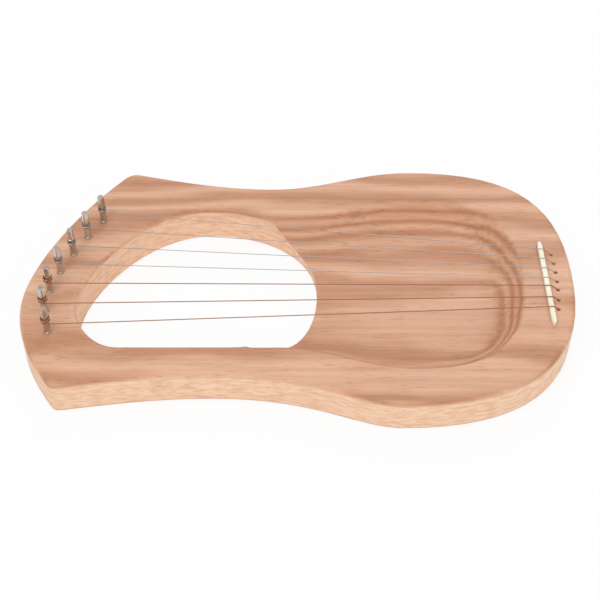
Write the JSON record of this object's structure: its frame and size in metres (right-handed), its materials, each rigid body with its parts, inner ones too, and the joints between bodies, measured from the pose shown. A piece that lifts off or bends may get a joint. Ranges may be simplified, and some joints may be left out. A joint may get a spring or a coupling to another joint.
{
  "type": "lyre harp",
  "caption": "Small lap lyre carved from one beech board, with a through opening, a hollowed sound bowl, metal strings over a bone saddle and tuning pins along its head.",
  "frame": {"origin": "middle of the board's underside", "axes": "+X from the head with the tuning pins to the tail with the saddle, +Z out of the face on the strings' side, +Y to the long-armed far side"},
  "size_m": [0.4, 0.22, 0.056],
  "materials": {
    "beech": "satin",
    "bone": "satin",
    "nickel": "polished",
    "bronze_string": "satin",
    "steel_string": "polished",
    "brass_ball": "satin"
  },
  "bodies": {
    "board": {"harp_body": "beech", "saddle": "bone", "string_1": "bronze_string", "string_2": "bronze_string", "string_3": "bronze_string", "string_4": "steel_string", "string_5": "steel_string", "string_6": "steel_string", "string_7": "steel_string", "string_ball_1": "brass_ball", "string_ball_2": "brass_ball", "string_ball_3": "brass_ball", "string_ball_4": "brass_ball", "string_ball_5": "brass_ball", "string_ball_6": "brass_ball", "string_ball_7": "brass_ball"},
    "pin_1": {"tuning_pin_1": "nickel"},
    "pin_2": {"tuning_pin_2": "nickel"},
    "pin_3": {"tuning_pin_3": "nickel"},
    "pin_4": {"tuning_pin_4": "nickel"},
    "pin_5": {"tuning_pin_5": "nickel"},
    "pin_6": {"tuning_pin_6": "nickel"},
    "pin_7": {"tuning_pin_7": "nickel"}
  },
  "joints": [
    {"name": "pin_1_turn", "type": "hinge", "parent": "board", "child": "pin_1", "pos_m": [-0.17748, -0.04652, 0.03], "axis": [0, 0, 1], "continuous": true},
    {"name": "pin_2_turn", "type": "hinge", "parent": "board", "child": "pin_2", "pos_m": [-0.18129, -0.02796, 0.03], "axis": [0, 0, 1], "continuous": true},
    {"name": "pin_3_turn", "type": "hinge", "parent": "board", "child": "pin_3", "pos_m": [-0.17969, -0.00911, 0.03], "axis": [0, 0, 1], "continuous": true},
    {"name": "pin_4_turn", "type": "hinge", "parent": "board", "child": "pin_4", "pos_m": [-0.17384, 0.00895, 0.03], "axis": [0, 0, 1], "continuous": true},
    {"name": "pin_5_turn", "type": "hinge", "parent": "board", "child": "pin_5", "pos_m": [-0.16597, 0.02624, 0.03], "axis": [0, 0, 1], "continuous": true},
    {"name": "pin_6_turn", "type": "hinge", "parent": "board", "child": "pin_6", "pos_m": [-0.15675, 0.04284, 0.03], "axis": [0, 0, 1], "continuous": true},
    {"name": "pin_7_turn", "type": "hinge", "parent": "board", "child": "pin_7", "pos_m": [-0.14646, 0.05881, 0.03], "axis": [0, 0, 1], "continuous": true}
  ]
}
